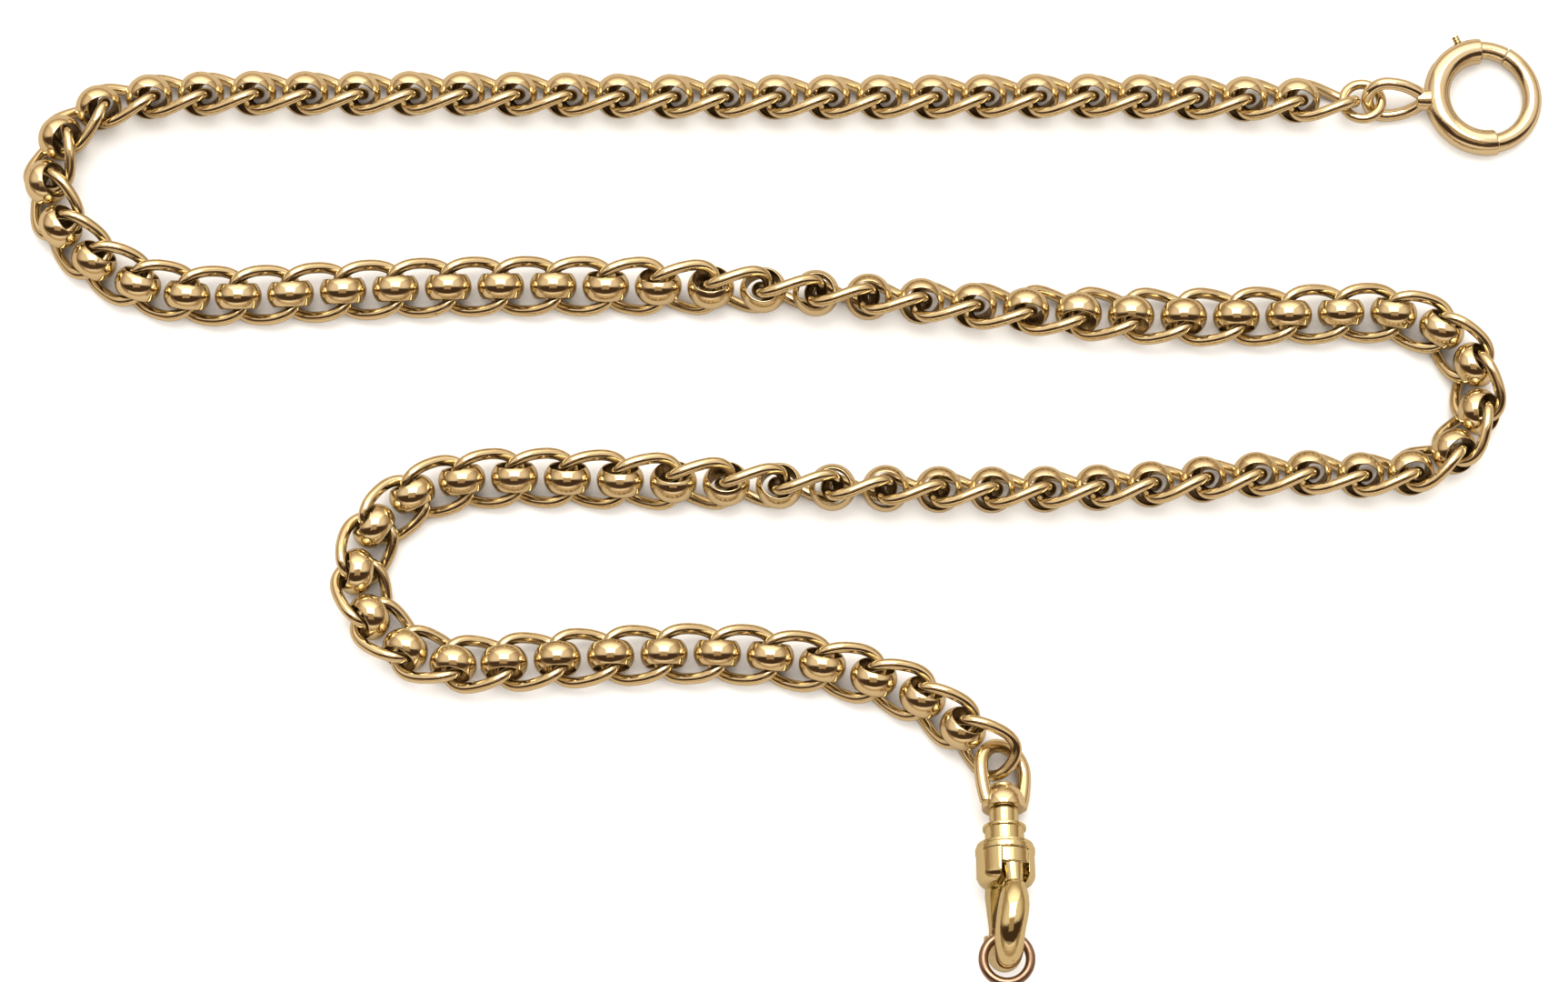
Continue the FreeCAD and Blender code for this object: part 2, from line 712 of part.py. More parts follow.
def make_stirrup():
    """The bail: an arch of round wire whose arms run into the sides of a drilled saddle."""
    tip, side, neck = size("stirrup_radius"), size("stirrup_side_radius"), size("stirrup_foot")
    reach = neck_reach(side, tip, neck)
    path = loop_path("stirrup_path", tip, side, reach, neck)
    start = Vector(reach.value, neck.value, 0)
    direction = start_direction(side, tip, reach, neck)
    arch = swept_bar("stirrup_arch", path, start, direction, size("stirrup_wire"))
    saddle = new_body("stirrup_saddle")
    bore, rim = size("saddle_bore"), size("saddle_radius")
    low = size("saddle_height") * -0.5
    high = size("saddle_height") * 0.5
    along_x((
        (low, bore), (high, bore), (high, rim, size("saddle_bulge")), (low, size("saddle_top_radius")),
    ), saddle, "saddle_profile")
    saddle.Placement = Placement(Vector(reach.value - FOOT_BELOW_MIDDLE, 0, 0), Rotation())
    stirrup = doc.addObject("Part::Fuse", "swivel_stirrup")
    stirrup.Base, stirrup.Tool = arch, saddle
    return stirrup, reach.value - FOOT_BELOW_MIDDLE


def make_rivet():
    """The swivel's rivet: a stepped head inside the bail and a shank into the body."""
    body = new_body("swivel_rivet")
    seat = SADDLE_END - size("saddle_height") - SADDLE_GAP
    step = seat - size("rivet_head_step")
    top = step - size("rivet_top_step")
    shank, head, small = size("rivet_radius"), size("rivet_head"), size("rivet_top")
    along_x((
        (top, 0), (top, small - 0.1), (top + 0.1, small), (step, small), (step, head),
        (seat, head), (seat, shank), (RIVET_END, shank), (RIVET_END, 0),
    ), body, "rivet_profile")
    return body


def make_swivel_body():
    """The turned body: neck, thin flange, waist, stepped flange and a slotted case."""
    body = new_body("swivel_body")
    shank_hole = size("rivet_radius") + GAP
    neck_end = NECK_END + size("neck_length")
    waist_start = neck_end + size("thin_flange")
    step = FLANGE_BACK + size("flange_thickness") * 0.4
    front = FLANGE_BACK + size("flange_thickness")
    case_end = front + size("case_length")
    thin, waist, big = size("thin_flange_radius"), size("waist_radius"), size("flange_radius")
    small, case = size("flange_step_radius"), size("case_radius")
    along_x((
        (NECK_END, shank_hole), (NECK_END, size("neck_radius")), (neck_end, size("neck_radius")),
        (neck_end, thin), (waist_start, thin), (waist_start, waist), (FLANGE_BACK, waist),
        (FLANGE_BACK, small), (step, small), (step, big), (front, big), (front, case),
        (case_end - size("case_mouth_length"), case, -size("case_mouth_bulge")),
        (case_end, size("case_mouth_radius")), (case_end, 0),
        (RIVET_HOLE_END, 0), (RIVET_HOLE_END, shank_hole),
    ), body, "body_profile")
    half = size("slot_gap") * 0.5
    slot = new_sketch(body, "fork_slot", "XY_Plane")
    near, far = front + SLOT_FLOOR, case_end + 1
    outline(slot, ((near, -half), (far, -half), (far, half), (near, half)))
    extrude(body, slot, case * 3, cut=True)
    hole = new_sketch(body, "pin_hole", "XZ_Plane")
    circle(hole, size("pin_forward"), -size("pin_below"), size("pin_radius") + SEAT_GAP * 2)
    extrude(body, hole, case * 3, cut=True)
    return body


# The hook's centre line as (forward, to the side, above the axis, radius of its round section).
# The hook is bent a little sideways.
HOOK_LINE = (
    (4.7, 0.0, 2.20, 1.30), (5.6, -0.08, 2.35, 1.55), (7.2, -0.25, 2.45, 1.75),
    (9.2, -0.45, 2.00, 1.72), (10.9, -0.15, 0.70, 1.64), (11.85, 0.42, -1.50, 1.50),
    (11.1, 0.50, -3.65, 1.32), (9.6, 0.30, -4.92, 1.05), (8.0, 0.0, -5.05, 0.70),
)


def make_hook():
    """The fixed tusk: a root block flush with the case, a tapered neck, a bead and the curved hook."""
    width = size("slot_gap") - 2 * GAP
    root_start = FLANGE_BACK + number("flange_thickness") + SLOT_FLOOR + GAP
    below = 0.6
    block = add_part(
        "Part::Box", "root_block", Placement(Vector(root_start, -width.value / 2, -below), Rotation()),
        Length=size("root_length"), Width=width, Height=size("case_radius") + 1 + below,
    )
    round_case = add_part(
        "Part::Cylinder", "root_round", Placement(Vector(), Rotation(Vector(0, 1, 0), 90)),
        Radius=size("case_radius"), Height=size("case_length") + 2,
    )
    root = doc.addObject("Part::Common", "hook_root")
    root.Base, root.Tool = block, round_case
    x, _, z, _ = HOOK_LINE[0]
    neck_start = Vector(root_start + number("root_length") - 0.2, 0, z - 0.45)
    neck_run = Vector(x, 0, z) - neck_start
    neck = add_part(
        "Part::Cone", "hook_neck", Placement(neck_start, Rotation(Vector(0, 0, 1), neck_run)),
        Radius1=size("hook_collar_radius") + 0.12, Radius2=size("hook_collar_radius") - 0.3,
        Height=neck_run.Length + 0.1,
    )
    bead = add_part(
        "Part::Torus", "hook_bead", Placement(Vector(x, 0, z), Rotation(Vector(0, 0, 1), neck_run)),
        Radius1=size("hook_collar_radius") - 0.26, Radius2=0.3,
    )
    line = Part.BSplineCurve()
    line.interpolate([Vector(x, y, z) for x, y, z, _ in HOOK_LINE])
    sections = []
    for i, (x, y, z, radius) in enumerate(HOOK_LINE):
        centre = Vector(x, y, z)
        tangent = line.tangent(line.parameter(centre))[0]
        turn = Rotation(Vector(0, 1, 0), tangent.cross(Vector(0, 1, 0)), tangent, "ZXY")
        section = add_part("Part::Circle", "hook_section_%d" % (i + 1), Placement(centre, turn))
        section.Radius = radius
        sections.append(section)
    tusk = doc.addObject("Part::Loft", "hook_tusk")
    tusk.Sections = sections
    tusk.Solid = True
    hook = doc.addObject("Part::MultiFuse", "swivel_hook")
    hook.Shapes = [root, neck, bead, tusk]
    return hook


def make_lever():
    """The sprung gate: a flat bar pivoted in the case, tapered in width to a small foot.
    Its side is given as (forward, above the axis)."""
    body = new_body("swivel_lever")
    side = new_sketch(body, "lever_side", "XZ_Plane")
    outline(side, (
        (1.35, -2.75), (2.9, -2.95), (7.7, -3.95), (8.1, -4.06), (8.5, -4.06), (8.5, -3.36),
        (3.3, -1.2), (1.9, -1.0), (1.35, -1.2),
    ))
    extrude(body, side, size("lever_width"))
    wide, narrow = size("lever_width") * 0.5, size("lever_tip_width") * 0.5
    for sign, name in ((1, "right"), (-1, "left")):
        taper = new_sketch(body, "lever_taper_" + name, "XY_Plane")
        corners = ((4.2, wide), (7.8, narrow), (9.2, narrow), (9.2, wide + 0.4), (4.2, wide + 0.4))
        corners = [(x, y * sign) for x, y in corners]
        outline(taper, corners if sign > 0 else corners[::-1])
        extrude(body, taper, size("case_radius") * 4, cut=True)
    hole = new_sketch(body, "lever_pin_hole", "XZ_Plane")
    circle(hole, size("pin_forward"), -size("pin_below"), size("pin_radius") + SEAT_GAP * 4)
    extrude(body, hole, size("slot_gap") * 2, cut=True)
    return body


def in_body(x, y, z, turn=Rotation()):
    """A place in the swivel body's frame."""
    return body_place.multiply(Placement(Vector(x, y, z), turn))


stirrup, stirrup_reach = make_stirrup()
saddle_middle = SADDLE_END - number("saddle_height") / 2
keep(stirrup, "swivel_stirrup",
     stirrup_place.multiply(Placement(Vector(saddle_middle - stirrup_reach, 0, 0), Rotation())))
keep(make_rivet(), "swivel_rivet", body_place)
keep(make_swivel_body(), "swivel_body", body_place)
keep(make_hook(), "swivel_hook", body_place)
keep(make_lever(), "swivel_lever", body_place)
pin_end = Vector(number("pin_forward"), number("pin_length") / 2, -number("pin_below"))
keep(add_part("Part::Cylinder", "lever_pin", Radius=size("pin_radius"), Height=size("pin_length")),
     "swivel_lever_pin", in_body(*pin_end, Rotation(Vector(1, 0, 0), 90)))
leaf = size("leaf_size")
keep(add_part("Part::Box", "leaf_spring", Length=size("leaf_thickness"), Width=leaf, Height=leaf),
     "swivel_leaf_spring", in_body(0.55, -leaf.value / 2, -2.75))
fob_ring_place = Placement(in_body(11.95, 0.42, -1.5).Base, Rotation())
keep(add_part(
    "Part::Torus", "fob_ring", Radius1=size("fob_ring_radius"), Radius2=size("fob_ring_wire") * 0.5,
), "fob_ring", fob_ring_place)

doc.recompute()


# ---------------------------------------------------------------- checks and files

broken = [o.Name for o in doc.Objects if "Invalid" in o.State or "Error" in o.State]
if broken:
    raise RuntimeError("these did not rebuild: " + ", ".join(broken))
for part in sub_parts:
    if part.Shape.isNull() or not part.Shape.isValid() or part.Shape.Volume <= 0:
        raise RuntimeError(part.Label + " has no valid shape")
os.makedirs("parts", exist_ok=True)
for part in sub_parts:
    part.Shape.exportStep("parts/%s.step" % part.Label)
print("%d sub-parts written" % len(sub_parts))
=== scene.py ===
"""The looks of the pocket watch chain: worn gold, plain floor, soft studio light, camera."""

import math

import bpy
import numpy as np
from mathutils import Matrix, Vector


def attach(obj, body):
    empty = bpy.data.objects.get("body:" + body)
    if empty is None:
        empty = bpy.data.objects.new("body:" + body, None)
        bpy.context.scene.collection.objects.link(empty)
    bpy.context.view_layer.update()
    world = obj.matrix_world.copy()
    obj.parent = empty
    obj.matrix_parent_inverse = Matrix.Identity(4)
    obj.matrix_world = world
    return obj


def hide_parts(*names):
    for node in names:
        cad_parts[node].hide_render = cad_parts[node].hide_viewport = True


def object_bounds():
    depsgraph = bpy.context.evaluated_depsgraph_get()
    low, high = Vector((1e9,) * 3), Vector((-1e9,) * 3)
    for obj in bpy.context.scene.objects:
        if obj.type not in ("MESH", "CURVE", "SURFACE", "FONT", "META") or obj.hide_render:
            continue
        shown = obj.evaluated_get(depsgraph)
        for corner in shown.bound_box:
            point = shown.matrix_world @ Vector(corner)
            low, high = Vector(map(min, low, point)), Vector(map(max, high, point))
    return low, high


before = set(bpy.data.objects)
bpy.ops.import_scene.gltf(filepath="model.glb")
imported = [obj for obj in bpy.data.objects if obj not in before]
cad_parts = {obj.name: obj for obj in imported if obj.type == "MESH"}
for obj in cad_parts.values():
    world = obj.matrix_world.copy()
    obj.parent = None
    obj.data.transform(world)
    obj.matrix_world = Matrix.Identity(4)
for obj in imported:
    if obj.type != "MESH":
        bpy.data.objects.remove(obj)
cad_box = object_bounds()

MM = 0.001
FULL_TURN = 2 * math.pi
SECTIONS = 20
rng = np.random.default_rng(7)


# ---------------------------------------------------------------- reading the CAD solids


def welded(node):
    """A CAD node's points in millimetres, with doubled ones joined, and its triangles."""
    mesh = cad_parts[node].data
    points = np.empty(len(mesh.vertices) * 3)
    mesh.vertices.foreach_get("co", points)
    points = points.reshape(-1, 3) / MM
    mesh.calc_loop_triangles()
    corners = np.empty(len(mesh.loop_triangles) * 3, dtype=np.int64)
    mesh.loop_triangles.foreach_get("vertices", corners)
    _, first, same = np.unique(
        np.round(points, 4), axis=0, return_index=True, return_inverse=True
    )
    faces = same.reshape(-1)[corners].reshape(-1, 3)
    a, b, c = faces.T
    flat = (a == b) | (b == c) | (a == c)
    return points[first], faces[~flat]


def solids(node):
    """The separate solids of a node, each as (points, triangles)."""
    points, faces = welded(node)
    label = np.arange(len(points))
    while True:
        low = label[faces].min(axis=1)
        new = label.copy()
        for corner in range(3):
            np.minimum.at(new, faces[:, corner], low)
        new = new[new]
        if (new == label).all():
            break
        label = new
    face_label = label[faces[:, 0]]
    return [(points, faces[face_label == k]) for k in np.unique(face_label)]


def main_axes(points, faces):
    """A solid's middle and its three axes of symmetry as columns, the longest first."""
    a, b, c = (points[faces[:, k]] for k in range(3))
    area = np.linalg.norm(np.cross(b - a, c - a), axis=1)
    middle = ((a + b + c) / 3 * area[:, None]).sum(axis=0) / area.sum()
    spread = np.zeros((3, 3))
    for arm in (a - middle, b - middle, c - middle, a + b + c - 3 * middle):
        spread += (arm * area[:, None]).T @ arm
    _, axes = np.linalg.eigh(spread)
    return middle, right_handed(axes[:, ::-1])


def right_handed(axes):
    """The same axes, with the last one turned round if they were a mirror image."""
    if np.linalg.det(axes) < 0:
        axes[:, 2] *= -1
    return axes


# ---------------------------------------------------------------- building meshes


def add_mesh(name, points, faces, body, marks):
    """A smooth-shaded piece, given in millimetres, that rides on a CAD body."""
    mesh = bpy.data.meshes.new(name)
    mesh.from_pydata((points * MM).tolist(), [], np.asarray(faces).tolist())
    mesh.polygons.foreach_set("use_smooth", [True] * len(mesh.polygons))
    for mark, values in marks.items():
        layer = mesh.attributes.new(mark, "FLOAT", "POINT")
        layer.data.foreach_set("value", np.asarray(values, dtype=np.float32))
    mesh.update()
    piece = bpy.data.objects.new(name, mesh)
    bpy.context.scene.collection.objects.link(piece)
    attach(piece, body)
    return piece


def closed_grid(rows, columns):
    """Quads of a grid that closes on itself both ways."""
    i, j = np.meshgrid(np.arange(rows), np.arange(columns), indexing="ij")
    i, j = i.ravel(), j.ravel()
    ni, nj = (i + 1) % rows, (j + 1) % columns
    corners = ((i, j), (ni, j), (ni, nj), (i, nj))
    return np.stack([row * columns + column for row, column in corners], axis=1)


def outward(points, faces):
    """The faces turned so that their normals point out of the solid."""
    a, b, c = (points[faces[:, k]] for k in range(3))
    volume = np.einsum("ij,ij->i", a, np.cross(b, c)).sum()
    return faces if volume > 0 else faces[:, ::-1]


# The curb link, in millimetres: a squarish oval of round wire, twisted about its length.
LINK_HALF_LENGTH = 3.735
LINK_HALF_WIDTH = 2.85
LINK_TWIST = 0.589
LINK_SQUARENESS = 2.278
LINK_WIRE = 1.30
# The wire seen here is this much of the solid's thickness.
WIRE_SCALE = 0.997
LINK_STEPS_ALONG = 120
LINK_STEPS_AROUND = 24
# Where along the link the crossing and its dirt and painted shade begin, and how far they take
# to be full.
CROSSING_START = 2.1
CROSSING_REACH = 1.2


def link_centre_line(turns):
    """Points of the wire's middle line at these angles round the oval."""
    cos, sin = np.cos(turns), np.sin(turns)
    reach = np.abs(cos) ** LINK_SQUARENESS + np.abs(sin) ** LINK_SQUARENESS
    reach = reach ** (-1 / LINK_SQUARENESS)
    x = cos * reach
    y = LINK_HALF_WIDTH * sin * reach
    return np.stack([LINK_HALF_LENGTH * x, y, -LINK_TWIST * y * x], axis=1)


def link_mesh():
    """One curb link about its own centre: points, faces and how much dirt and painted shade each
    point gets.
    """
    line = link_centre_line(np.arange(LINK_STEPS_ALONG) * FULL_TURN / LINK_STEPS_ALONG)
    step = np.roll(line, -1, axis=0) - np.roll(line, 1, axis=0)
    step /= np.linalg.norm(step, axis=1)[:, None]
    side = np.cross(step, line)
    side /= np.linalg.norm(side, axis=1)[:, None]
    out = np.cross(side, step)
    angles = np.arange(LINK_STEPS_AROUND) * FULL_TURN / LINK_STEPS_AROUND
    radius = LINK_WIRE / 2 * WIRE_SCALE
    points = (
        line[:, None]
        + out[:, None] * (radius * np.cos(angles))[None, :, None]
        + side[:, None] * (radius * np.sin(angles))[None, :, None]
    )
    # The wire's inner side, most of all near the ends where the rings sit, gets dirt and painted
    # shade, as in a crevice.
    tip = np.clip((np.abs(line[:, 0]) - CROSSING_START) / CROSSING_REACH, 0, 1)
    inner = np.clip(0.5 - 0.7 * np.cos(angles), 0, 1)
    grime_and_shade = tip[:, None] * inner[None] + 0.25 * inner[None] ** 2
    points = points.reshape(-1, 3)
    faces = closed_grid(LINK_STEPS_ALONG, LINK_STEPS_AROUND)
    return points, outward(points, faces), np.clip(grime_and_shade.ravel(), 0, 1)


# The domed ring, in millimetres.
DOME_RADIUS = 2.70
HOLE_RADIUS = 2.00
RIM_RADIUS = 2.10
RING_HALF_WIDTH = 1.45
MOUTH_FLARE = 0.061
MOUTH_DEPTH = 0.60
# Where the plain part of the hole begins, from the rim.
BORE_START = 0.75
RING_STEPS_AROUND = 96
DOME_STEPS = 23
BORE_STEPS = 7
# How far from the middle the dome begins to take dirt and painted shade, how far that takes, and
# its share.
EDGE_START = 1.15
EDGE_REACH = 0.26
EDGE_GRIME_AND_SHADE = 0.3


def ring_mesh():
    """One domed ring whose hole runs along Y: points, faces and how much dirt and painted shade
    each point gets.
    """
    rise = DOME_RADIUS - RIM_RADIUS
    bow = (RING_HALF_WIDTH**2 + rise**2) / (2 * rise)
    reach = math.asin(RING_HALF_WIDTH / bow)
    # Each point of the profile is radius, place along the hole, dirt and painted shade.
    dome = [
        (DOME_RADIUS - bow + bow * math.cos(t), bow * math.sin(t), 0.0)
        for t in np.linspace(-reach, reach, DOME_STEPS)
    ]
    mouth = [
        (HOLE_RADIUS + MOUTH_FLARE, RING_HALF_WIDTH - 0.03, 0.45),
        (HOLE_RADIUS + MOUTH_FLARE * 0.45, RING_HALF_WIDTH - 0.18, 0.8),
        (HOLE_RADIUS, RING_HALF_WIDTH - MOUTH_DEPTH, 1.0),
    ]
    bore_end = RING_HALF_WIDTH - BORE_START
    bore = [(HOLE_RADIUS, y, 1.0) for y in np.linspace(bore_end, -bore_end, BORE_STEPS)]
    back = [(radius, -y, dirt_and_shade) for radius, y, dirt_and_shade in mouth[::-1]]
    radius, y, dirt_and_shade = np.array(dome + mouth + bore + back).T
    angles = np.arange(RING_STEPS_AROUND) * FULL_TURN / RING_STEPS_AROUND
    points = np.stack(
        [
            np.cos(angles)[:, None] * radius[None],
            np.repeat(y[None], RING_STEPS_AROUND, axis=0),
            np.sin(angles)[:, None] * radius[None],
        ],
        axis=2,
    ).reshape(-1, 3)
    # The hole's mouth and bore, and the dome near its edges, get dirt and painted shade, as in a
    # recess.
    edge = np.clip((np.abs(y) - EDGE_START) / EDGE_REACH, 0, 1) * (dirt_and_shade == 0) * EDGE_GRIME_AND_SHADE
    grime_and_shade = np.repeat(np.clip(dirt_and_shade + edge, 0, 1)[None], RING_STEPS_AROUND, axis=0)
    faces = closed_grid(RING_STEPS_AROUND, len(radius))
    return points, outward(points, faces), grime_and_shade.ravel()


def make_section(node, kind, body):
    """The links or rings of one node as one piece, each a little unlike the others."""
    base_points, base_faces, base_grime_and_shade = kind
    points, faces, grime_and_shade, tone = [], [], [], []
    for number, (solid_points, solid_faces) in enumerate(solids(node)):
        middle, axes = main_axes(solid_points, solid_faces)
        if node.endswith("rings"):
            # The hole runs along a ring's shortest axis; the turn about it is random.
            axes = right_handed(np.stack([axes[:, 0], axes[:, 2], -axes[:, 1]], axis=1))
            turn = rng.uniform(0, FULL_TURN)
            c, s = math.cos(turn), math.sin(turn)
            axes = axes @ np.array([[c, 0, s], [0, 1, 0], [-s, 0, c]])
        points.append(base_points @ axes.T + middle)
        faces.append(base_faces + number * len(base_points))
        grime_and_shade.append(np.clip(base_grime_and_shade * rng.uniform(0.75, 1.15), 0, 1))
        tone.append(np.full(len(base_points), rng.uniform(0, 1)))
    marks = {"grime_and_shade": np.concatenate(grime_and_shade), "tone": np.concatenate(tone)}
    points, faces = np.concatenate(points), np.concatenate(faces)
    piece = add_mesh(node + "_gold", points, faces, body, marks)
    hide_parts(node)
    return piece


def refined(node, body, voxel, rounds, tone):
    """A CAD node rebuilt with an even, fine mesh whose edges are softened as by polishing."""
    points, faces = welded(node)
    mesh = bpy.data.meshes.new(node + "_coarse")
    mesh.from_pydata(points.tolist(), [], faces.tolist())
    coarse = bpy.data.objects.new(node + "_coarse", mesh)
    bpy.context.scene.collection.objects.link(coarse)
    remesh = coarse.modifiers.new("even", "REMESH")
    remesh.mode = "VOXEL"
    remesh.voxel_size = voxel
    smooth = coarse.modifiers.new("soft", "SMOOTH")
    smooth.factor = 0.5
    smooth.iterations = rounds
    graph = bpy.context.evaluated_depsgraph_get()
    fine = bpy.data.meshes.new_from_object(coarse.evaluated_get(graph))
    bpy.data.objects.remove(coarse)
    bpy.data.meshes.remove(mesh)
    fine_points = np.empty(len(fine.vertices) * 3)
    fine.vertices.foreach_get("co", fine_points)
    fine_points = fine_points.reshape(-1, 3)
    fine_points = np.clip(fine_points, points.min(axis=0), points.max(axis=0))
    quads = [tuple(p.vertices) for p in fine.polygons]
    bpy.data.meshes.remove(fine)
    marks = {"grime_and_shade": np.zeros(len(fine_points)), "tone": np.full(len(fine_points), tone)}
    piece = add_mesh(node + "_gold", fine_points, quads, body, marks)
    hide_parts(node)
    return piece


# ---------------------------------------------------------------- materials


def opaque(colour):
    """A colour with full opacity, as sockets want it."""
    return (*colour, 1)


class Nodes:
    """A short way to write the nodes of a material or of the world."""

    def __init__(self, owner):
        owner.use_nodes = True
        self.owner = owner
        self.tree = owner.node_tree

    @property
    def shader(self):
        return self.tree.nodes["Principled BSDF"]

    def add(self, kind, **settings):
        node = self.tree.nodes.new("ShaderNode" + kind)
        for key, value in settings.items():
            setattr(node, key, value)
        return node

    def join(self, source, target):
        self.tree.links.new(source, target)

    def value(self, source, target):
        """Links a socket, or sets a plain number or colour."""
        if isinstance(source, bpy.types.NodeSocket):
            self.join(source, target)
        else:
            target.default_value = source

    def settings(self, node, **values):
        """Sets plain values; an underscore in a name stands for a space."""
        for name, value in values.items():
            node.inputs[name.replace("_", " ")].default_value = value

    def math(self, operation, a, b=0.0, clamp=False):
        node = self.add("Math", operation=operation, use_clamp=clamp)
        self.value(a, node.inputs[0])
        self.value(b, node.inputs[1])
        return node.outputs[0]

    def plus(self, a, b, clamp=False):
        return self.math("ADD", a, b, clamp)

    def times(self, a, b, clamp=False):
        return self.math("MULTIPLY", a, b, clamp)

    def mix(self, factor, a, b):
        node = self.add("Mix", data_type="RGBA")
        self.value(factor, node.inputs[0])
        self.value(a, node.inputs[6])
        self.value(b, node.inputs[7])
        return node.outputs[2]

    def noise(self, where, scale, detail=2.0, roughness=0.5, distortion=0.0):
        node = self.add("TexNoise")
        self.join(where, node.inputs["Vector"])
        self.settings(
            node, Scale=scale, Detail=detail, Roughness=roughness, Distortion=distortion
        )
        return node.outputs["Fac"]

    def ramp(self, source, low, high, start=0.0, end=1.0):
        """A soft step of the source between low and high, from start to end."""
        node = self.add("MapRange", interpolation_type="SMOOTHSTEP")
        self.value(source, node.inputs["Value"])
        self.settings(node, From_Min=low, From_Max=high, To_Min=start, To_Max=end)
        return node.outputs["Result"]


# Sizes of the patterns in the materials, in features per metre.
CLOUDS = 260
WAVES = 420
PIT_SPOTS = 900
STEEL_PATCHES = 1200
FINE_GRAIN = 1500
HAIRLINES = 9000
PAPER_GRAIN = 300
# How deep the wear goes, in metres, before the bump's own strength.
WEAR_DEPTH = 0.00008


def gold_material(name, bright, deep, dirt_and_shade, roughness, wear=1.0):
    """Worn polished gold: hairline scratches, small pits, tone changes, and dirt with painted
    shade in corners.
    """
    n = Nodes(bpy.data.materials.new(name))
    where = n.add("TexCoord").outputs["Object"]
    grime_and_shade = n.add("Attribute", attribute_name="grime_and_shade").outputs["Fac"]
    tone = n.add("Attribute", attribute_name="tone").outputs["Fac"]
    clouds = n.noise(where, CLOUDS, 3.0, 0.55)
    fine = n.noise(where, FINE_GRAIN, 3.0, 0.6)
    stretch = n.add("Mapping")
    n.settings(stretch, Scale=(0.25, 1.0, 1.0), Rotation=(0.3, 0.5, 0.6))
    n.join(where, stretch.inputs["Vector"])
    hair = n.noise(stretch.outputs[0], HAIRLINES, 2.0, 0.7, 0.4)
    spots = n.add("TexVoronoi")
    n.join(where, spots.inputs["Vector"])
    n.settings(spots, Scale=PIT_SPOTS)
    pit = n.times(
        n.ramp(spots.outputs["Distance"], 0.10, 0.18, 1.0, 0.0), n.ramp(clouds, 0.58, 0.66)
    )
    # Where the grime mark is high, dirt and painted shade darken the colour and dull the shine.
    dirty_and_shaded = n.times(grime_and_shade, n.ramp(fine, 0.25, 0.75, 0.55, 1.1), clamp=True)

    tint = n.plus(n.times(tone, 0.45), n.times(clouds, 0.55))
    colour = n.mix(tint, opaque(bright), opaque(deep))
    colour = n.mix(n.times(pit, 0.6), colour, opaque(dirt_and_shade))
    colour = n.mix(n.times(dirty_and_shaded, 0.75), colour, opaque(dirt_and_shade))
    n.join(colour, n.shader.inputs["Base Color"])

    rough = n.ramp(clouds, 0.35, 0.7, roughness * 0.75, roughness * 1.5)
    rough = n.plus(rough, n.times(dirty_and_shaded, 0.22))
    rough = n.plus(rough, n.ramp(hair, 0.55, 0.75, 0.0, 0.10 * wear), clamp=True)
    n.join(rough, n.shader.inputs["Roughness"])
    n.settings(n.shader, Metallic=1.0)

    height = n.plus(n.times(n.noise(where, WAVES), 0.7), n.times(hair, 0.10 * wear))
    height = n.math("SUBTRACT", height, n.times(pit, 0.5))
    height = n.plus(height, n.times(fine, 0.12))
    bump = n.add("Bump")
    n.settings(bump, Strength=0.35, Distance=WEAR_DEPTH)
    n.join(height, bump.inputs["Height"])
    n.join(bump.outputs[0], n.shader.inputs["Normal"])
    return n.owner


def steel_material():
    """The dull spring steel of the hidden coil and leaf."""
    n = Nodes(bpy.data.materials.new("spring_steel"))
    where = n.add("TexCoord").outputs["Object"]
    patch = n.noise(where, STEEL_PATCHES, 3.0)
    colour = n.mix(patch, (0.42, 0.42, 0.43, 1), (0.26, 0.22, 0.19, 1))
    n.join(colour, n.shader.inputs["Base Color"])
    n.join(n.ramp(patch, 0.3, 0.7, 0.28, 0.5), n.shader.inputs["Roughness"])
    n.settings(n.shader, Metallic=1.0)
    return n.owner


# Each gold: bright tone, deep tone, colour of dirt and painted shade, roughness.
gold = gold_material(
    "gold", (0.90, 0.81, 0.58), (0.83, 0.71, 0.48), (0.25, 0.16, 0.07), 0.10
)
pale_gold = gold_material(
    "pale_gold", (0.91, 0.83, 0.64), (0.86, 0.76, 0.55), (0.25, 0.17, 0.08), 0.11
)
yellow_gold = gold_material(
    "yellow_gold", (0.84, 0.76, 0.50), (0.77, 0.67, 0.41), (0.25, 0.16, 0.06), 0.08, wear=0.6
)
rose_gold = gold_material(
    "rose_gold", (0.50, 0.37, 0.29), (0.36, 0.25, 0.19), (0.12, 0.07, 0.05), 0.28, wear=1.4
)
steel = steel_material()


# ---------------------------------------------------------------- the pieces

link, ring = link_mesh(), ring_mesh()
for number in range(1, SECTIONS + 1):
    body = "chain_%02d" % number
    for part, kind in (("links", link), ("rings", ring)):
        piece = make_section("section_%02d_%s" % (number, part), kind, body)
        piece.data.materials.append(gold)
make_section("end_link", link, "end_link").data.materials.append(gold)

